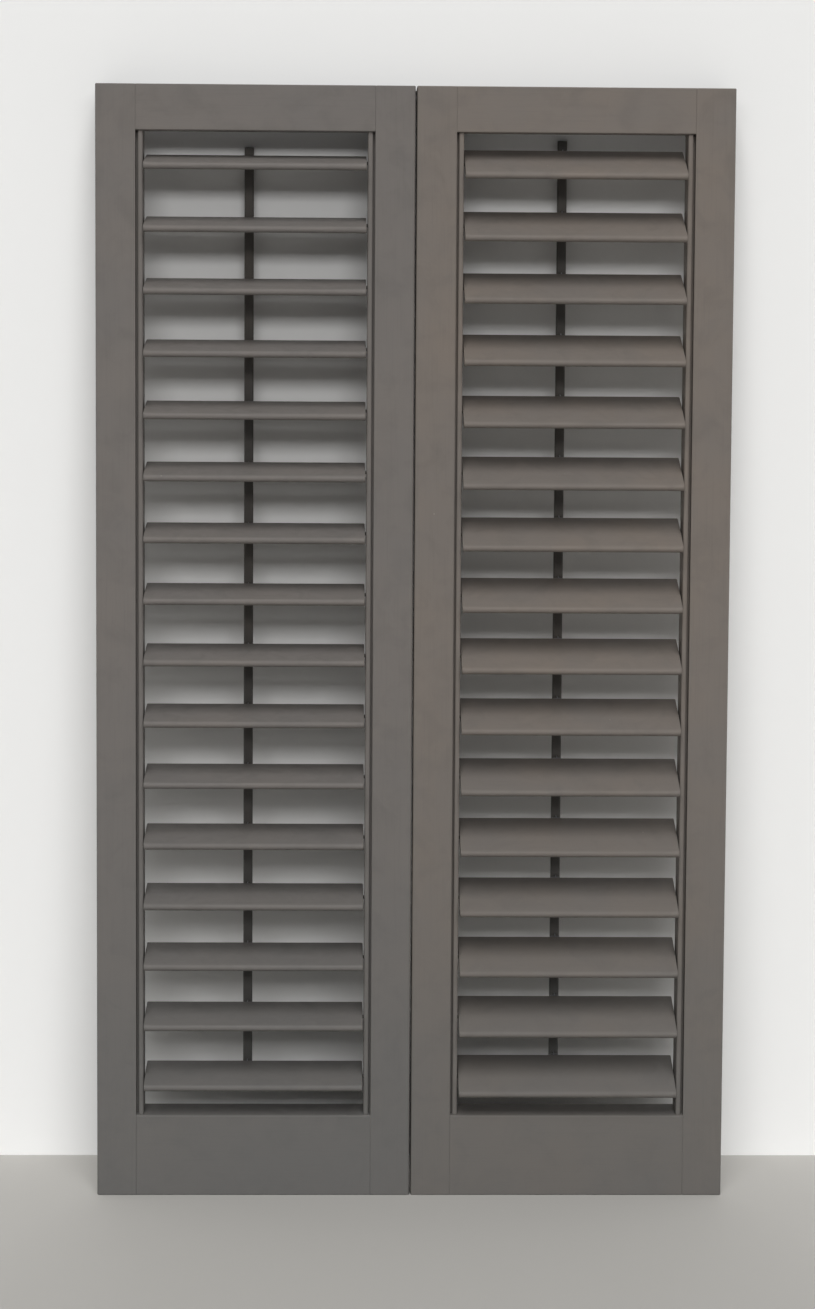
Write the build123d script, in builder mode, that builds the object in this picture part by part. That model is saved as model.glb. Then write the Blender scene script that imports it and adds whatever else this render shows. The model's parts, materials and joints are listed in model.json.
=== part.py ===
"""A pair of louvred timber window shutters.

Each panel is a mortised frame of two stiles and two rails. A beaded pivot strip
lines each stile, and sixteen oval louvres turn on pins between the strips. A tilt
rod behind the louvres links them: a wire staple in each louvre's rear edge passes
through a second staple in the rod, so that all the louvres of a panel tilt together.

The front of the pair faces -Y, +Z is up, and the origin is at the middle of the
pair's footprint, on the ground. The left panel is the one at -X.
"""

import os
from math import cos, radians, sin, tan

from build123d import *

# Panels, in millimetres
panel_width = 412.0
panel_height = 1453.0
panel_gap = 2.0
frame_depth = 45.0
stile_width = 51.5
top_rail_height = 59.0
bottom_rail_height = 107.0
sill_rise = 6.0
rail_setback = 0.3
outer_easing = 2.5
inner_easing = 1.0
end_easing = 0.8

# Mortise and tenon joints of the frame
tenon_length = 36.0
tenon_thickness = 15.0
tenon_shoulder = 10.0
mortise_clearance = 0.1

# Pivot strips, each a bead with a narrow quirk against the stile
strip_width = 9.5
strip_setback = 3.5
quirk_width = 3.0
quirk_depth = 9.0
bead_easing = 1.8

# Louvres
louvre_count = 16
louvre_chord = 88.0
louvre_thickness = 11.0
louvre_edge_thickness = 9.0
louvre_edge_easing = 2.6
louvre_corner_easing = 1.2
louvre_end_gap = 1.5
first_pivot_drop = 38.8
last_pivot_rise = 48.2

# Pivot pins, six-sided
pin_sides = 6
pin_diameter = 5.0
pin_grip = 16.0
pin_running_clearance = 0.05
pin_seat_clearance = 0.02
pin_end_clearance = 0.5

# Wire staples of the louvres and the rod
wire = 1.3
louvre_staple_width = 12.0
louvre_staple_reach = 5.0
staple_leg = 7.0
staple_side_play = 1.7
staple_crown_play = 1.5

# Tilt rod
rod_width = 12.0
rod_depth = 12.0
rod_easing = 1.5
rod_overrun = 14.3
rod_gap = 4.2

# Rebate and rod notch on the back of the top rail
rebate_clearance = 1.2
notch_clearance = 2.0

# How the pair stands: the louvres' rear edges are up by this many degrees
left_tilt = 10.9
right_tilt = 24.4
closed_tilt = 82.0
left_rod_offset = -10.0
right_rod_offset = -13.0

# Values worked out from the sizes above
opening_width = panel_width - 2 * stile_width - 2 * strip_width
opening_top = panel_height - top_rail_height
rail_length = panel_width - 2 * stile_width
louvre_length = opening_width - 2 * louvre_end_gap
first_pivot = opening_top - first_pivot_drop
last_pivot = bottom_rail_height + last_pivot_rise
louvre_pitch = (first_pivot - last_pivot) / (louvre_count - 1)
pivot_heights = [first_pivot - number * louvre_pitch for number in range(louvre_count)]
pin_length = strip_width + louvre_end_gap + pin_grip
pin_flat_radius = pin_diameter / 2 * cos(radians(180 / pin_sides))
louvre_tip = louvre_chord / 2
louvre_tip_half = louvre_edge_thickness / 2 - louvre_edge_easing
staple_radius = louvre_tip + louvre_staple_reach
staple_leg_height = staple_side_play + wire / 2
rod_length = first_pivot - last_pivot + 2 * rod_overrun

# The frame stands off the origin in Y, so that the louvres in front of it and the
# rod behind it reach equally far
least_tilt = radians(min(left_tilt, right_tilt))
front_reach = louvre_tip * cos(least_tilt) + louvre_tip_half * sin(least_tilt)
back_reach = staple_radius * cos(least_tilt) + rod_gap + rod_depth
pivot_y = (front_reach - back_reach) / 2

# Where the top louvre's face and tip, and the rod's top, come to when it is closed
closed = radians(closed_tilt)
closed_face_y = pivot_y + first_pivot_drop / tan(closed) - louvre_thickness / 2 / sin(closed)
closed_tip_height = first_pivot + louvre_tip * sin(closed) + louvre_tip_half * cos(closed)
closed_rod_height = first_pivot + staple_radius * sin(closed) + rod_overrun
recess_depth = pivot_y + frame_depth / 2 - closed_face_y + rebate_clearance


def save(builder, name):
    """Label a finished piece and write it to its own file."""
    builder.part.label = name
    export_step(builder.part, f"parts/{name}.step")


def cross_plane(x):
    """A plane square to X through the pivot line, with Y to its right and Z up."""
    return Plane(origin=(x, pivot_y, 0), x_dir=(0, 1, 0), z_dir=(1, 0, 0))


def make_stile(name, panel_x, side):
    """An upright of the frame: side is -1 for the left stile and 1 for the right one."""
    centre_x = panel_x + side * (panel_width - stile_width) / 2
    inner_x = panel_x + side * rail_length / 2
    mortise_length = tenon_length + mortise_clearance
    mortise_thickness = tenon_thickness + 2 * mortise_clearance
    with BuildPart() as stile:
        with BuildSketch(Plane.XY) as section:
            with Locations((centre_x, pivot_y)):
                Rectangle(stile_width, frame_depth)
            outward_order = section.vertices().sort_by(Axis.X, reverse=side < 0)
            fillet(outward_order[-2:], outer_easing)
            chamfer(outward_order[:2], inner_easing)
        extrude(amount=panel_height)
        chamfer(stile.edges().group_by(Axis.Z)[-1], end_easing)
        chamfer(stile.edges().group_by(Axis.Z)[0], end_easing)
        for rail_bottom, rail_height in ((0, bottom_rail_height), (opening_top, top_rail_height)):
            mortise_height = rail_height - 2 * tenon_shoulder + 2 * mortise_clearance
            with BuildSketch(cross_plane(inner_x)):
                with Locations((0, rail_bottom + rail_height / 2)):
                    Rectangle(mortise_thickness, mortise_height)
            extrude(amount=side * mortise_length, mode=Mode.SUBTRACT)
    save(stile, name)


def add_tenons(panel_x, rail_bottom, rail_height):
    """Add a tenon to each end of the rail that is being built."""
    with Locations((panel_x, pivot_y, rail_bottom + rail_height / 2)):
        Box(rail_length + 2 * tenon_length, tenon_thickness, rail_height - 2 * tenon_shoulder)


def make_top_rail(name, panel_x, rod_x):
    """The top rail, rebated behind for the closed top louvre and notched for the rod's end."""
    rail_depth = frame_depth - 2 * rail_setback
    back_y = frame_depth / 2
    recess_centre = back_y - recess_depth / 2
    with BuildPart() as rail:
        with BuildSketch(cross_plane(panel_x)) as section:
            with Locations((0, opening_top + top_rail_height / 2)):
                Rectangle(rail_depth, top_rail_height)
            chamfer(section.vertices().group_by(Axis.Y)[-1], end_easing)
            chamfer(section.vertices().group_by(Axis.Y)[0], inner_easing)
        extrude(amount=rail_length / 2, both=True)
        add_tenons(panel_x, opening_top, top_rail_height)
        rebate_height = closed_tip_height + rebate_clearance - first_pivot
        with BuildSketch(cross_plane(panel_x)):
            with Locations((recess_centre, first_pivot + rebate_height / 2)):
                Rectangle(recess_depth, rebate_height)
        extrude(amount=opening_width / 2, both=True, mode=Mode.SUBTRACT)
        notch_height = closed_rod_height + notch_clearance - first_pivot
        notch_width = louvre_staple_width + 2 * notch_clearance
        with BuildSketch(cross_plane(rod_x)):
            with Locations((recess_centre, first_pivot + notch_height / 2)):
                Rectangle(recess_depth, notch_height)
        extrude(amount=notch_width / 2, both=True, mode=Mode.SUBTRACT)
    save(rail, name)


def make_bottom_rail(name, panel_x):
    """The bottom rail, with a top edge that falls towards the front to shed water."""
    half_depth = frame_depth / 2 - rail_setback
    back_height = bottom_rail_height + sill_rise
    with BuildPart() as rail:
        with BuildSketch(cross_plane(panel_x)) as section:
            with BuildLine():
                Polyline(
                    (-half_depth, 0),
                    (half_depth, 0),
                    (half_depth, back_height),
                    (-half_depth, bottom_rail_height),
                    close=True,
                )
            make_face()
            chamfer(section.vertices().sort_by(Axis.Y)[-2:], inner_easing)
            chamfer(section.vertices().sort_by(Axis.Y)[:2], end_easing)
        extrude(amount=rail_length / 2, both=True)
        add_tenons(panel_x, 0, bottom_rail_height)
    save(rail, name)


def make_pivot_strip(name, panel_x, side):
    """A strip that lines a stile: side is -1 at the left stile and 1 at the right one."""
    stile_x = panel_x + side * rail_length / 2
    inner_x = stile_x - side * strip_width
    half_depth = frame_depth / 2 - strip_setback
    rail_half_depth = frame_depth / 2 - rail_setback
    bead_x = stile_x - side * quirk_width
    with BuildPart() as strip:
        with BuildSketch(Plane((0, pivot_y, bottom_rail_height))) as section:
            with BuildLine():
                Polyline(
                    (inner_x, -half_depth),
                    (bead_x, -half_depth),
                    (bead_x, quirk_depth - half_depth),
                    (stile_x, quirk_depth - half_depth),
                    (stile_x, half_depth - quirk_depth),
                    (bead_x, half_depth - quirk_depth),
                    (bead_x, half_depth),
                    (inner_x, half_depth),
                    close=True,
                )
            make_face()
            fillet(section.vertices().group_by(Axis.Y)[0], bead_easing)
            chamfer(section.vertices().group_by(Axis.Y)[-1], bead_easing)
        extrude(amount=opening_top - bottom_rail_height)
        with BuildSketch(cross_plane(panel_x)):
            with BuildLine():
                Polyline(
                    (-rail_half_depth, bottom_rail_height),
                    (rail_half_depth, bottom_rail_height),
                    (rail_half_depth, bottom_rail_height + sill_rise),
                    close=True,
                )
            make_face()
        extrude(amount=rail_length / 2, both=True, mode=Mode.SUBTRACT)
        with BuildSketch(cross_plane(stile_x)):
            with Locations(*[(0, height) for height in pivot_heights]):
                RegularPolygon(pin_flat_radius + pin_seat_clearance, pin_sides, major_radius=False)
        extrude(amount=-side * strip_width, mode=Mode.SUBTRACT)
    save(strip, name)


def make_pivot_pins(name, panel_x):
    """The pins that the louvres turn on, one through each hole of the two strips."""
    with BuildPart() as pins:
        for side in (-1, 1):
            with BuildSketch(cross_plane(panel_x + side * rail_length / 2)):
                with Locations(*[(0, height) for height in pivot_heights]):
                    RegularPolygon(pin_diameter / 2, pin_sides)
            extrude(amount=-side * pin_length)
    save(pins, name)


def make_louvre(name, panel_x, rod_x, height, tilt):
    """An oval blade, bored at both ends for its pins, with the staple in its rear edge."""
    lean = radians(tilt)
    rearward = (0, cos(lean), sin(lean))
    blade_normal = (0, -sin(lean), cos(lean))
    half_thickness = louvre_thickness / 2
    shoulder = louvre_tip - louvre_edge_easing
    half_edge = louvre_edge_thickness / 2
    bore_depth = pin_grip + pin_end_clearance
    with BuildPart() as louvre:
        left_end = Plane((panel_x - louvre_length / 2, pivot_y, height), rearward, (1, 0, 0))
        right_end = Plane((panel_x + louvre_length / 2, pivot_y, height), rearward, (1, 0, 0))
        with BuildSketch(left_end):
            with BuildLine():
                ThreePointArc((-shoulder, half_edge), (0, half_thickness), (shoulder, half_edge))
                Polyline(
                    (shoulder, half_edge),
                    (louvre_tip, louvre_tip_half),
                    (louvre_tip, -louvre_tip_half),
                    (shoulder, -half_edge),
                )
                ThreePointArc((shoulder, -half_edge), (0, -half_thickness), (-shoulder, -half_edge))
                Polyline(
                    (-shoulder, -half_edge),
                    (-louvre_tip, -louvre_tip_half),
                    (-louvre_tip, louvre_tip_half),
                    (-shoulder, half_edge),
                )
            make_face()
        extrude(amount=louvre_length)
        with BuildSketch(Plane((panel_x, pivot_y, height), (1, 0, 0), blade_normal)) as outline:
            Rectangle(louvre_length, louvre_chord)
            chamfer(outline.vertices(), louvre_corner_easing)
        extrude(amount=half_thickness, both=True, mode=Mode.INTERSECT)
        for end, inward in ((left_end, 1), (right_end, -1)):
            with BuildSketch(end):
                RegularPolygon(pin_diameter / 2 + pin_running_clearance, pin_sides, major_radius=False)
            extrude(amount=inward * bore_depth, mode=Mode.SUBTRACT)
        crown = staple_radius + wire / 2
        foot = louvre_tip - staple_leg
        with BuildSketch(Plane((rod_x, pivot_y, height), (1, 0, 0), blade_normal)):
            with Locations((0, (crown + foot) / 2)):
                Rectangle(louvre_staple_width, crown - foot)
            with Locations((0, (crown + foot) / 2 - wire)):
                Rectangle(louvre_staple_width - 2 * wire, crown - foot, mode=Mode.SUBTRACT)
        extrude(amount=wire / 2, both=True)
    save(louvre, name)


def make_tilt_rod(name, rod_x, tilt):
    """The square rod, with a pair of holes in its front for the legs of each staple."""
    lean = radians(tilt)
    face_y = pivot_y + staple_radius * cos(lean) + rod_gap
    rise = staple_radius * sin(lean)
    rod_bottom = last_pivot + rise - rod_overrun
    leg_heights = [height + rise + end * staple_leg_height for height in pivot_heights for end in (-1, 1)]
    with BuildPart() as rod:
        with BuildSketch(Plane((rod_x, face_y + rod_depth / 2, rod_bottom))) as section:
            Rectangle(rod_width, rod_depth)
            chamfer(section.vertices(), rod_easing)
        extrude(amount=rod_length)
        with BuildSketch(Plane((rod_x, face_y, 0), (1, 0, 0), (0, -1, 0))):
            with Locations(*[(0, height) for height in leg_heights]):
                Rectangle(wire, wire)
        extrude(amount=-staple_leg, mode=Mode.SUBTRACT)
    save(rod, name)


def make_rod_staples(name, rod_x, tilt):
    """The rod's staples, each standing upright around the crossbar of a louvre's staple."""
    lean = radians(tilt)
    crossbar_y = staple_radius * cos(lean)
    rise = staple_radius * sin(lean)
    crown = staple_crown_play + wire
    length = crown + rod_gap + staple_leg
    centre_y = crossbar_y - crown + length / 2
    with BuildPart() as staples:
        with BuildSketch(cross_plane(rod_x)):
            with Locations(*[(centre_y, height + rise) for height in pivot_heights]):
                Rectangle(length, 2 * (staple_side_play + wire))
            with Locations(*[(centre_y + wire, height + rise) for height in pivot_heights]):
                Rectangle(length, 2 * staple_side_play, mode=Mode.SUBTRACT)
        extrude(amount=wire / 2, both=True)
    save(staples, name)


def make_panel(panel, panel_x, tilt, rod_offset):
    """All the pieces of one panel, with its outer stile on the side away from the other panel."""
    rod_x = panel_x + rod_offset
    outer_side = 1 if panel_x > 0 else -1
    make_stile(f"{panel}_outer_stile", panel_x, outer_side)
    make_stile(f"{panel}_meeting_stile", panel_x, -outer_side)
    make_top_rail(f"{panel}_top_rail", panel_x, rod_x)
    make_bottom_rail(f"{panel}_bottom_rail", panel_x)
    make_pivot_strip(f"{panel}_outer_pivot_strip", panel_x, outer_side)
    make_pivot_strip(f"{panel}_meeting_pivot_strip", panel_x, -outer_side)
    make_pivot_pins(f"{panel}_pivot_pins", panel_x)
    for number, height in enumerate(pivot_heights, start=1):
        make_louvre(f"{panel}_louvre_{number:02d}", panel_x, rod_x, height, tilt)
    make_tilt_rod(f"{panel}_tilt_rod", rod_x, tilt)
    make_rod_staples(f"{panel}_rod_staples", rod_x, tilt)


os.makedirs("parts", exist_ok=True)
panel_offset = (panel_width + panel_gap) / 2
make_panel("left", -panel_offset, left_tilt, left_rod_offset)
make_panel("right", panel_offset, right_tilt, right_rod_offset)
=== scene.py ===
# %% [markdown]
# # A pair of louvred shutters
# Two cedar panels, painted a dark grey-brown, stand side by side in front of a pale wall. The packed
# frame brings the stiles, rails, strips, pins and rods at their true places. Blender gives the louvres
# their softly rounded noses, bends the staples from round wire, and paints everything.

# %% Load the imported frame
import json
from math import atan2, cos, pi, radians, sin

import bmesh
import bpy
from mathutils import Euler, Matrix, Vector


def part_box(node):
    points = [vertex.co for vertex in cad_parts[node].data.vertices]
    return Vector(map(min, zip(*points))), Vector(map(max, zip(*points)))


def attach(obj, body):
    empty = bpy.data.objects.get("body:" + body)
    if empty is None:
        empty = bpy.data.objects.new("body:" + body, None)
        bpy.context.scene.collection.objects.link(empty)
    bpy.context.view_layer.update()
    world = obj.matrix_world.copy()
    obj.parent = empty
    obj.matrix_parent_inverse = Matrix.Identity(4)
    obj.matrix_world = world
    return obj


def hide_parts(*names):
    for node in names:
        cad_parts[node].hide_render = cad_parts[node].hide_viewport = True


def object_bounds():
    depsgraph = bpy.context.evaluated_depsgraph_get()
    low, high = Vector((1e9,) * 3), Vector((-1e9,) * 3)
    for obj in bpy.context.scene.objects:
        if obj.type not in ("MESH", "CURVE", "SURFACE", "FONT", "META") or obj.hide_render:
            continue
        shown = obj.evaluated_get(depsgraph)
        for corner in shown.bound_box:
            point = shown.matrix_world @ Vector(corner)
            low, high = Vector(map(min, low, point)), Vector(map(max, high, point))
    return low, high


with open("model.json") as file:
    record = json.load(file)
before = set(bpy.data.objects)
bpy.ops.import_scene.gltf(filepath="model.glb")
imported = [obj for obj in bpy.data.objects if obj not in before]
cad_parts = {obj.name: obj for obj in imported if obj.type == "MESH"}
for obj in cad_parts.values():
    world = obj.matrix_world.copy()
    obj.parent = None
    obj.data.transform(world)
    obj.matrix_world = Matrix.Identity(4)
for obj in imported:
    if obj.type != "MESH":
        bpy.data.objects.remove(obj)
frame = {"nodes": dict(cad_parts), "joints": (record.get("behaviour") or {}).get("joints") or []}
cad_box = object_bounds()
nodes = frame["nodes"]
joint_places = {joint["name"]: Vector(joint["pos_m"]) for joint in frame["joints"]}

# %% [markdown]
# ## Two helpers for materials
# Colours are written as sRGB hex values, the way a paint chart gives them, but Blender mixes light in
# linear values, so one function converts them. Node trees are easier to read when each node is one
# call: the second function adds a node, sets its options, and feeds its sockets.

# %% Colour and node helpers
mm = 0.001


def colour(hex_code):
    """Turn an sRGB hex value such as #808080 into a linear colour."""
    shares = [int(hex_code[start:start + 2], 16) / 255 for start in (1, 3, 5)]
    linear = [s / 12.92 if s <= 0.04045 else ((s + 0.055) / 1.055) ** 2.4 for s in shares]
    return (*linear, 1.0)


def add_node(tree, kind, feeds=None, **settings):
    """Add a node with its settings; feeds maps a socket to a value or to another node's output."""
    node = tree.nodes.new(kind)
    for setting, value in settings.items():
        setattr(node, setting, value)
    for socket, source in (feeds or {}).items():
        if isinstance(source, bpy.types.NodeSocket):
            tree.links.new(source, node.inputs[socket])
        else:
            node.inputs[socket].default_value = source
    return node


print("mid grey is", [round(share, 3) for share in colour("#808080")])

# %% [markdown]
# ## Satin paint on cedar
# The panels are planed cedar under a few coats of satin acrylic. From close up the eye sees four things:
# a colour that drifts a little from one hand's breadth to the next, the softwood's grain telegraphing
# through the film, a fine stipple from the roller, and small nicks where the film has chipped to a paler
# undercoat. The arrises are rubbed too, and a painted shade darkens the lower part, where less light falls.
# Each of the four is one noise or cell pattern with a real size in millimetres. The grain noise is
# stretched along the fibres, so stiles and rails need their own materials.

# %% Satin paint
drift_size = 130 * mm
smudge_size = 38 * mm
grain_width = 1.8 * mm
grain_length = 90 * mm
stipple_size = 1.1 * mm
stipple_height = 0.05 * mm
grain_height = 0.12 * mm
nick_spacing = 55 * mm
nick_radius_share = 0.016
nick_core_share = 0.6 * nick_radius_share
rubbed_width = 1.4 * mm
# Painted shade: a darker grey is mixed into the lower part of the panels, for the light that falls off low
# down.
painted_shade_height = 700 * mm
painted_low_shade = "#565858"
undercoat = "#a39d95"
grain_stretch = {"X": (grain_width / grain_length, 1, 1), "Z": (1, 1, grain_width / grain_length)}


def satin_paint_on_cedar(name, paint, shade, warm, grain):
    """Satin acrylic over cedar whose fibres run along the grain axis."""
    material = bpy.data.materials.new(name)
    material.use_nodes = True
    tree = material.node_tree
    shader = tree.nodes["Principled BSDF"]
    place = add_node(tree, "ShaderNodeTexCoord").outputs["Object"]

    drift = add_node(tree, "ShaderNodeTexNoise", {
        "Vector": place, "Scale": 1 / drift_size, "Detail": 3.0, "Roughness": 0.55})
    smudge = add_node(tree, "ShaderNodeTexNoise", {
        "Vector": place, "Scale": 1 / smudge_size, "Detail": 4.0, "Roughness": 0.6, "Distortion": 0.6})
    along_fibres = add_node(tree, "ShaderNodeVectorMath", {
        0: place, 1: grain_stretch[grain]}, operation="MULTIPLY")
    fibres = add_node(tree, "ShaderNodeTexNoise", {
        "Vector": along_fibres.outputs[0], "Scale": 1 / grain_width, "Detail": 3.0, "Roughness": 0.65})
    stipple = add_node(tree, "ShaderNodeTexNoise", {
        "Vector": place, "Scale": 1 / stipple_size, "Detail": 1.0})

    warmed = add_node(tree, "ShaderNodeMapRange", {
        "Value": drift.outputs["Fac"], "From Min": 0.38, "From Max": 0.66})
    drifted = add_node(tree, "ShaderNodeMix", {
        "Factor": warmed.outputs[0], 6: colour(paint), 7: colour(warm)}, data_type="RGBA")
    shaded = add_node(tree, "ShaderNodeMapRange", {
        "Value": smudge.outputs["Fac"], "From Min": 0.48, "From Max": 0.8, "To Max": 0.4})
    smudged = add_node(tree, "ShaderNodeMix", {
        "Factor": shaded.outputs[0], 6: drifted.outputs[2], 7: colour(shade)}, data_type="RGBA")
    grained = add_node(tree, "ShaderNodeMapRange", {
        "Value": fibres.outputs["Fac"], "From Min": 0.52, "From Max": 0.8, "To Max": 0.34})
    fibred = add_node(tree, "ShaderNodeMix", {
        "Factor": grained.outputs[0], 6: smudged.outputs[2], 7: colour(shade)}, data_type="RGBA")

    # Painted shade: below a set height the colour darkens towards the floor, standing in for the light that
    # falls off low down.
    height = add_node(tree, "ShaderNodeSeparateXYZ", {0: place}).outputs["Z"]
    low_shade_share = add_node(tree, "ShaderNodeMapRange", {
        "Value": height, "From Min": painted_shade_height, "From Max": 0.0, "To Max": 0.55})
    low_shaded = add_node(tree, "ShaderNodeMix", {
        "Factor": low_shade_share.outputs[0], 6: fibred.outputs[2], 7: colour(painted_low_shade)}, data_type="RGBA")

    cells = add_node(tree, "ShaderNodeTexVoronoi", {"Vector": place, "Scale": 1 / nick_spacing})
    nicks = add_node(tree, "ShaderNodeMapRange", {
        "Value": cells.outputs["Distance"], "From Min": nick_radius_share, "From Max": nick_core_share,
        "To Max": 0.75})
    nicked = add_node(tree, "ShaderNodeMix", {
        "Factor": nicks.outputs[0], 6: low_shaded.outputs[2], 7: colour(undercoat)}, data_type="RGBA")

    softened = add_node(tree, "ShaderNodeBevel", {"Radius": rubbed_width}, samples=6)
    facing = add_node(tree, "ShaderNodeNewGeometry")
    bend = add_node(tree, "ShaderNodeVectorMath", {
        0: softened.outputs[0], 1: facing.outputs["Normal"]}, operation="DOT_PRODUCT")
    arris = add_node(tree, "ShaderNodeMapRange", {
        "Value": bend.outputs["Value"], "From Min": 0.985, "From Max": 0.9})
    rubbed = add_node(tree, "ShaderNodeMath", {
        0: arris.outputs[0], 1: shaded.outputs[0]}, operation="MULTIPLY")
    worn = add_node(tree, "ShaderNodeMix", {
        "Factor": rubbed.outputs[0], 6: nicked.outputs[2], 7: colour(undercoat)}, data_type="RGBA")

    sheen = add_node(tree, "ShaderNodeMapRange", {
        "Value": smudge.outputs["Fac"], "From Min": 0.3, "From Max": 0.7, "To Min": 0.46, "To Max": 0.6})
    stippled = add_node(tree, "ShaderNodeBump", {
        "Strength": 0.35, "Distance": stipple_height, "Height": stipple.outputs["Fac"],
        "Normal": softened.outputs[0]})
    raised = add_node(tree, "ShaderNodeBump", {
        "Strength": 0.5, "Distance": grain_height, "Height": fibres.outputs["Fac"],
        "Normal": stippled.outputs[0]})
    tree.links.new(worn.outputs[2], shader.inputs["Base Color"])
    tree.links.new(sheen.outputs[0], shader.inputs["Roughness"])
    tree.links.new(raised.outputs[0], shader.inputs["Normal"])
    shader.inputs["IOR"].default_value = 1.4
    return material


paints = {
    "left": {"paint": "#6b6764", "shade": "#5a5855", "warm": "#6e6965"},
    "right": {"paint": "#6f6964", "shade": "#5e5a56", "warm": "#736b64"},
}
# The rods take a darker paint. Part of its darkness is painted shade for the rods' place behind the
# louvres.
rod_paint_with_painted_shade = {"paint": "#4b4845", "shade": "#3c3a38", "warm": "#504b46"}
finishes = {}
for panel, tones in paints.items():
    finishes[panel, "upright"] = satin_paint_on_cedar(f"{panel}_satin_paint_upright", grain="Z", **tones)
    finishes[panel, "level"] = satin_paint_on_cedar(f"{panel}_satin_paint_level", grain="X", **tones)
    finishes[panel, "rod"] = satin_paint_on_cedar(f"{panel}_satin_paint_rod_with_painted_shade", grain="Z", **rod_paint_with_painted_shade)
print("made", len(finishes), "paint finishes")

# %% [markdown]
# ## Wire and nylon
# The staples are drawn steel wire, galvanised, so they are a dull grey metal. The pivot pins are moulded
# nylon: a dark grey plastic with a slight mottle and a soft gloss.

# %% Steel wire and nylon
wire_mottle = 0.6 * mm
nylon_mottle = 2.5 * mm


def galvanised_wire():
    """Drawn steel wire with the patchy grey of a zinc coat."""
    material = bpy.data.materials.new("galvanised_steel_wire")
    material.use_nodes = True
    tree = material.node_tree
    shader = tree.nodes["Principled BSDF"]
    place = add_node(tree, "ShaderNodeTexCoord").outputs["Object"]
    mottle = add_node(tree, "ShaderNodeTexNoise", {"Vector": place, "Scale": 1 / wire_mottle})
    zinc = add_node(tree, "ShaderNodeMix", {
        "Factor": mottle.outputs["Fac"], 6: colour("#84858a"), 7: colour("#a4a6a8")}, data_type="RGBA")
    rough = add_node(tree, "ShaderNodeMapRange", {
        "Value": mottle.outputs["Fac"], "To Min": 0.35, "To Max": 0.6})
    tree.links.new(zinc.outputs[2], shader.inputs["Base Color"])
    tree.links.new(rough.outputs[0], shader.inputs["Roughness"])
    shader.inputs["Metallic"].default_value = 1.0
    return material


def moulded_nylon():
    """Dark grey nylon, a little uneven."""
    material = bpy.data.materials.new("moulded_nylon")
    material.use_nodes = True
    tree = material.node_tree
    shader = tree.nodes["Principled BSDF"]
    place = add_node(tree, "ShaderNodeTexCoord").outputs["Object"]
    mottle = add_node(tree, "ShaderNodeTexNoise", {"Vector": place, "Scale": 1 / nylon_mottle})
    mottled = add_node(tree, "ShaderNodeMix", {
        "Factor": mottle.outputs["Fac"], 6: colour("#4a4744"), 7: colour("#55514d")}, data_type="RGBA")
    tree.links.new(mottled.outputs[2], shader.inputs["Base Color"])
    shader.inputs["Roughness"].default_value = 0.42
    shader.inputs["IOR"].default_value = 1.53
    return material


wire_finish = galvanised_wire()
nylon_finish = moulded_nylon()
print("made", wire_finish.name, "and", nylon_finish.name)

# %% [markdown]
# ## Dressing the frame
# The solids of the frame are right as they are, so they stay and only take a finish. Fibres run up the
# stiles, strips and rods, and along the rails.

# %% Dress the frame
upright_pieces = ("outer_stile", "meeting_stile", "outer_pivot_strip", "meeting_pivot_strip")
level_pieces = ("top_rail", "bottom_rail")


def dress(node, finish):
    """Give a node of the frame its finish."""
    nodes[node].data.materials.clear()
    nodes[node].data.materials.append(finish)


for panel in paints:
    for piece in upright_pieces:
        dress(f"{panel}_{piece}", finishes[panel, "upright"])
    for piece in level_pieces:
        dress(f"{panel}_{piece}", finishes[panel, "level"])
    dress(f"{panel}_tilt_rod", finishes[panel, "rod"])
    dress(f"{panel}_pivot_pins", nylon_finish)
print("dressed the frames of", len(paints), "panels")

# %% [markdown]
# ## Louvres
# A louvre is a flat oval blade with a rounded nose on both long edges, rounded corners, and a bore in
# each end for its pin. The section is drawn once, as two nose arcs and two shallow crowns, and is swept
# along the blade as a stack of rings. Rings near the ends shrink, which rounds the corners, and the last
# ring closes onto the bore. Mesh code keeps every ring matched point for point, so no cleanup is needed.

# %% Sizes of the louvres
louvre_count = 16
louvre_length = 287 * mm
louvre_chord = 88 * mm
louvre_thickness = 11 * mm
nose_radius = 4.5 * mm
corner_radius = 1.6 * mm
arris_radius = 0.5 * mm
bore_radius = 2.6 * mm
bore_depth = 16.5 * mm
nose_turn = radians(86)
nose_steps = 8
crown_steps = 10
crown_crowding = 2.2
corner_turns = [radians(angle) for angle in (60, 38, 18, 0)]
sharp_angle = radians(40)
tilts = {"left": radians(10.9), "right": radians(24.4)}


def louvre_section():
    """Points of the oval section, as (along the chord, through the thickness)."""
    nose_centre = louvre_chord / 2 - nose_radius
    turns = [nose_turn * step / nose_steps for step in range(-nose_steps, nose_steps + 1)]
    nose = [(nose_centre + nose_radius * cos(a), nose_radius * sin(a)) for a in turns]
    shoulder, low = nose[-1]
    shares = [step / crown_steps for step in range(crown_steps - 1, -crown_steps, -1)]
    spread = [shoulder * abs(s) ** crown_crowding * (1 if s > 0 else -1) for s in shares]
    rise = louvre_thickness / 2 - low
    crown = [(u, low + rise * (1 - (u / shoulder) ** 2)) for u in spread]
    half = nose + crown
    return half + [(-u, -n) for u, n in half]


section = louvre_section()
print("the louvre's section has", len(section), "points")

# %% Build the louvres


def end_rings():
    """For each ring near an end: its distance in, and how far its edge and faces draw back."""
    rings = [(corner_radius * (1 - sin(a)), corner_radius * (1 - cos(a)), 0) for a in corner_turns]
    return [(0, corner_radius + arris_radius, arris_radius)] + rings


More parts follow.
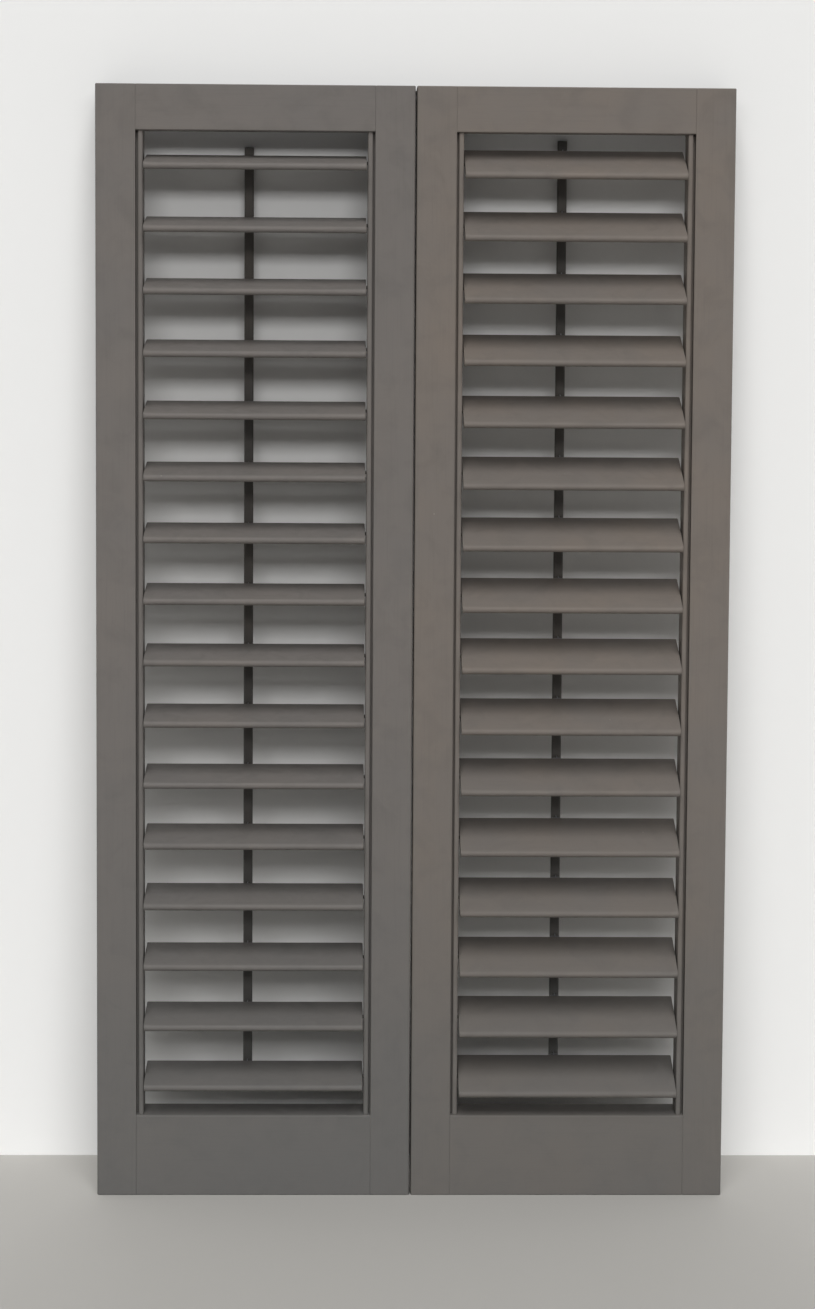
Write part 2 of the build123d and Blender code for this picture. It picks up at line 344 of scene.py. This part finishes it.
def louvre_mesh(name, centre, tilt):
    """A blade about its pivot line, with its rear edge raised by the tilt."""
    rearward = Vector((0, cos(tilt), sin(tilt)))
    upward = Vector((0, -sin(tilt), cos(tilt)))
    half = louvre_length / 2
    left_rings = [(-half + inset, edge, face) for inset, edge, face in end_rings()]
    right_rings = [(-x, edge, face) for x, edge, face in reversed(left_rings)]
    mesh = bmesh.new()

    def ring(x, points):
        return [mesh.verts.new(centre + Vector((x, 0, 0)) + rearward * u + upward * n) for u, n in points]

    def bridge(first, second):
        for index, vertex in enumerate(first):
            after = (index + 1) % len(first)
            mesh.faces.new((vertex, first[after], second[after], second[index]))

    bore = [(bore_radius * cos(atan2(n, u)), bore_radius * sin(atan2(n, u))) for u, n in section]
    loops = [ring(-half + bore_depth, bore), ring(-half, bore)]
    for x, edge, face in left_rings + right_rings:
        chord_share = 1 - 2 * edge / louvre_chord
        face_share = 1 - 2 * face / louvre_thickness
        loops.append(ring(x, [(u * chord_share, n * face_share) for u, n in section]))
    loops += [ring(half, bore), ring(half - bore_depth, bore)]
    for first, second in zip(loops, loops[1:]):
        bridge(first, second)
    mesh.faces.new(loops[0])
    mesh.faces.new(reversed(loops[-1]))
    bmesh.ops.recalc_face_normals(mesh, faces=mesh.faces)
    data = bpy.data.meshes.new(name)
    mesh.to_mesh(data)
    mesh.free()
    data.shade_smooth()
    data.set_sharp_from_angle(angle=sharp_angle)
    return data


louvres = {}
for panel, tilt in tilts.items():
    for number in range(1, louvre_count + 1):
        body = f"{panel}_louvre_{number:02d}"
        centre = joint_places[f"{body}_tilt"]
        blade = bpy.data.objects.new(f"{body}_blade", louvre_mesh(f"{body}_blade", centre, tilt))
        bpy.context.scene.collection.objects.link(blade)
        blade.data.materials.append(finishes[panel, "level"])
        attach(blade, body)
        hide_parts(body)
        louvres[body] = blade
print("built", len(louvres), "louvres")

# %% [markdown]
# ## Staples
# Each louvre has a wire staple in its rear edge, lying along the edge. The rod has one for each louvre,
# standing upright, looped through the louvre's. Bent wire is a curve with a round bevel: the two corners
# of each staple are short arcs of the bend radius, and the legs end inside the timber.

# %% Bend the staples
wire = 1.3 * mm
bend_radius = 1.2 * mm
louvre_staple_width = 12 * mm
staple_reach = 5 * mm
staple_leg = 7 * mm
side_play = 1.7 * mm
crown_play = 1.5 * mm
rod_gap = 4.2 * mm
bend_steps = 4


def staple_path(origin, across, outward, half_width, reach, leg):
    """Points of a U of wire: up one leg, round two bends, and down the other leg."""
    bends = [pi / 2 * step / bend_steps for step in range(bend_steps + 1)]
    corner = [(half_width - bend_radius + bend_radius * cos(a),
               reach - bend_radius + bend_radius * sin(a)) for a in bends]
    side = [(half_width, -leg)] + corner
    outline = side + [(-a, b) for a, b in reversed(side)]
    return [origin + across * a + outward * b for a, b in outline]


def wire_piece(name, paths):
    """A piece of round wire along each path."""
    curve = bpy.data.curves.new(name, "CURVE")
    curve.dimensions = "3D"
    curve.bevel_depth = wire / 2
    curve.bevel_resolution = 2
    curve.use_fill_caps = True
    for path in paths:
        spline = curve.splines.new("POLY")
        spline.points.add(len(path) - 1)
        for point, place in zip(spline.points, path):
            point.co = (*place, 1)
    curve.materials.append(wire_finish)
    piece = bpy.data.objects.new(name, curve)
    bpy.context.scene.collection.objects.link(piece)
    return piece


staple_radius = louvre_chord / 2 + staple_reach
louvre_staple_half = (louvre_staple_width - wire) / 2
rod_staple_half = side_play + wire / 2
rod_staple_reach = rod_gap + crown_play + wire / 2
for panel, tilt in tilts.items():
    rearward = Vector((0, cos(tilt), sin(tilt)))
    low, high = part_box(f"{panel}_tilt_rod")
    rod_x = (low.x + high.x) / 2
    loops = []
    for number in range(1, louvre_count + 1):
        body = f"{panel}_louvre_{number:02d}"
        hinge = joint_places[f"{body}_tilt"]
        pivot = Vector((rod_x, hinge.y, hinge.z))
        edge = pivot + rearward * louvre_chord / 2
        path = staple_path(edge, Vector((1, 0, 0)), rearward, louvre_staple_half, staple_reach, staple_leg)
        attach(wire_piece(f"{body}_staple", [path]), body)
        crossbar = pivot + rearward * staple_radius
        rod_face = crossbar + Vector((0, rod_gap, 0))
        loops.append(staple_path(rod_face, Vector((0, 0, 1)), Vector((0, -1, 0)),
                                 rod_staple_half, rod_staple_reach, staple_leg))
    staples = wire_piece(f"{panel}_staple_row", loops)
    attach(staples, f"{panel}_tilt_rod")
    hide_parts(f"{panel}_rod_staples")
print("bent", 2 * louvre_count * len(tilts), "staples")

# %% [markdown]
# ## Floor and wall
# The panels stand on a plain pale floor, a little in front of a plain pale wall. The wall matters for the
# look of the louvres, because the gaps between them show it in the panels' own shade. It leans a little
# towards the panels' tops. It is painted on its front only, so that a view from behind looks through it and
# a lamp behind it shines straight onto the backs. Light that has bounced once can't pass it. A narrow dark
# flag, which the camera can't see, covers the slot between the panels' tops and the wall, so that no light
# falls in there from above.

# %% Floor and wall
wall_foot = 0.185
wall_lean = 0.0942
wall_height = 2.4
stage_half_width = 5.0
floor_front = -7.0
floor_back = 5.0
flag_clearance = 1 * mm
first_hit_depth = 1.5


def flat_sheet(name, corners, finish):
    """A flat four-cornered sheet of the stage."""
    mesh = bmesh.new()
    mesh.faces.new([mesh.verts.new(corner) for corner in corners])
    data = bpy.data.meshes.new(name)
    mesh.to_mesh(data)
    mesh.free()
    sheet = bpy.data.objects.new(name, data)
    bpy.context.scene.collection.objects.link(sheet)
    data.materials.append(finish)
    return sheet


def matt_stage_paint(name, tone, one_sided):
    """Matt paint for the stage; a one-sided sheet can't be seen from behind and lets direct light by."""
    material = bpy.data.materials.new(name)
    material.use_nodes = True
    tree = material.node_tree
    shader = tree.nodes["Principled BSDF"]
    shader.inputs["Base Color"].default_value = colour(tone)
    shader.inputs["Roughness"].default_value = 0.9
    shader.inputs["Specular IOR Level"].default_value = 0.1
    if one_sided:
        facing = add_node(tree, "ShaderNodeNewGeometry")
        rays = add_node(tree, "ShaderNodeLightPath")
        direct = add_node(tree, "ShaderNodeMath", {
            0: rays.outputs["Ray Depth"], 1: first_hit_depth}, operation="LESS_THAN")
        let_by = add_node(tree, "ShaderNodeMath", {
            0: rays.outputs["Is Shadow Ray"], 1: direct.outputs[0]}, operation="MULTIPLY")
        unseen = add_node(tree, "ShaderNodeMath", {
            0: facing.outputs["Backfacing"], 1: let_by.outputs[0]}, operation="MAXIMUM")
        clear = add_node(tree, "ShaderNodeBsdfTransparent")
        mixed = add_node(tree, "ShaderNodeMixShader", {
            0: unseen.outputs[0], 1: shader.outputs[0], 2: clear.outputs[0]})
        tree.links.new(mixed.outputs[0], tree.nodes["Material Output"].inputs["Surface"])
    return material


def wall_y(height):
    """How far back the wall's face is at a height."""
    return wall_foot - wall_lean * height


left, right = -stage_half_width, stage_half_width
flat_sheet("floor", [
    (left, floor_front, 0), (right, floor_front, 0), (right, floor_back, 0), (left, floor_back, 0)],
    matt_stage_paint("pale_floor", "#aeaca8", False))
flat_sheet("wall", [
    (left, wall_foot, 0), (right, wall_foot, 0),
    (right, wall_y(wall_height), wall_height), (left, wall_y(wall_height), wall_height)],
    matt_stage_paint("pale_wall", "#f5f5f4", True))
rail_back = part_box("left_top_rail")[1]
flag_half_width = cad_box[1][0]
flag_z = rail_back.z + flag_clearance
flag = flat_sheet("flag", [
    (-flag_half_width, rail_back.y, flag_z), (flag_half_width, rail_back.y, flag_z),
    (flag_half_width, wall_y(flag_z), flag_z), (-flag_half_width, wall_y(flag_z), flag_z)],
    matt_stage_paint("dark_flag", "#2a2a2a", False))
flag.visible_camera = False
print("the wall stands", wall_foot, "m behind the middle of the panels")

# %% [markdown]
# ## Light
# The light is that of an overcast day. A wide soft skylight stands high in front, so the louvres shade each
# other and their rear halves grow dark. A broad panel, far off and low, is the bright sky over the horizon:
# its light gets in between the louvres and falls on the wall behind them, below each louvre's shade. The
# world adds a faint fill from the front. A wide, shallow panel well behind the wall lights the backs. None
# of the lamps can be seen.

# %% Light the scene
open_sky = 0.08
skylight_elevation = radians(49)
skylight_spread = radians(38)
skylight_strength = 2.4
skylight_place = (0, -3, 4)
front_panel_size = (9.0, 1.7)
front_panel_power = 460
front_panel_height = 4.2
front_panel_away = 12.0
front_panel_aim = 0.7
rear_panel_size = (4.0, 0.6)
rear_panel_power = 260
rear_panel_place = (0, 6, 0.9)

world = bpy.data.worlds.new("overcast_day")
bpy.context.scene.world = world
world.use_nodes = True
room = world.node_tree
rays = add_node(room, "ShaderNodeLightPath")
seen = add_node(room, "ShaderNodeMath", {
    0: rays.outputs["Is Camera Ray"], 1: rays.outputs["Is Glossy Ray"]}, operation="MAXIMUM")
seen_through = add_node(room, "ShaderNodeMath", {
    0: seen.outputs[0], 1: rays.outputs["Is Transmission Ray"]}, operation="MAXIMUM")
direction = add_node(room, "ShaderNodeTexCoord").outputs["Generated"]
rearward_share = add_node(room, "ShaderNodeSeparateXYZ", {0: direction}).outputs["Y"]
in_front = add_node(room, "ShaderNodeMapRange", {
    "Value": rearward_share, "From Min": 0.15, "From Max": -0.15, "To Max": open_sky})
fill = room.nodes["Background"]
fill.inputs["Color"].default_value = colour("#fdfdff")
room.links.new(in_front.outputs[0], fill.inputs["Strength"])
backdrop = add_node(room, "ShaderNodeBackground", {"Color": colour("#ededed"), "Strength": 1.0})
chosen = add_node(room, "ShaderNodeMixShader", {
    0: seen_through.outputs[0], 1: fill.outputs[0], 2: backdrop.outputs[0]})
room.links.new(chosen.outputs[0], room.nodes["World Output"].inputs["Surface"])


def hang_lamp(name, lamp, place, direction):
    """Hang a lamp so that it shines in a direction, without being seen itself."""
    holder = bpy.data.objects.new(name, lamp)
    holder.location = place
    holder.rotation_euler = Vector(direction).to_track_quat("-Z", "Y").to_euler()
    holder.visible_camera = False
    holder.visible_glossy = False
    bpy.context.scene.collection.objects.link(holder)


def soft_panel(name, width, height, power):
    """A rectangular lamp."""
    lamp = bpy.data.lights.new(name, "AREA")
    lamp.shape = "RECTANGLE"
    lamp.size = width
    lamp.size_y = height
    lamp.energy = power
    return lamp


skylight = bpy.data.lights.new("skylight", "SUN")
skylight.energy = skylight_strength
skylight.angle = skylight_spread
hang_lamp("skylight", skylight, skylight_place, (0, cos(skylight_elevation), -sin(skylight_elevation)))
hang_lamp("front_panel", soft_panel("front_panel", *front_panel_size, front_panel_power),
          (0, -front_panel_away, front_panel_height),
          (0, front_panel_away, front_panel_aim - front_panel_height))
hang_lamp("rear_panel", soft_panel("rear_panel", *rear_panel_size, rear_panel_power),
          rear_panel_place, (0, -1, 0))
print("an open sky of", open_sky, "and three lamps")

# %% [markdown]
# ## Camera
# The camera's place, turn and lens were fitted to the corners and edges of the panels in the picture: it
# stood about four metres in front, a little left of the middle and a metre above the floor, and looked
# slightly down.

# %% Camera
camera_place = (-0.1039, -4.0774, 1.0555)
camera_turn = (85.242, -0.352, -1.340)
camera_lens = 85.5
camera_sensor = 36.0

lens = bpy.data.cameras.new("camera")
lens.sensor_fit = "VERTICAL"
lens.sensor_height = camera_sensor
lens.lens = camera_lens
lens.clip_end = 60
camera = bpy.data.objects.new("camera", lens)
camera.location = camera_place
camera.rotation_euler = Euler([radians(angle) for angle in camera_turn])
bpy.context.scene.collection.objects.link(camera)
bpy.context.scene.camera = camera
bpy.context.scene.view_settings.view_transform = "Standard"
print("camera at", camera_place)
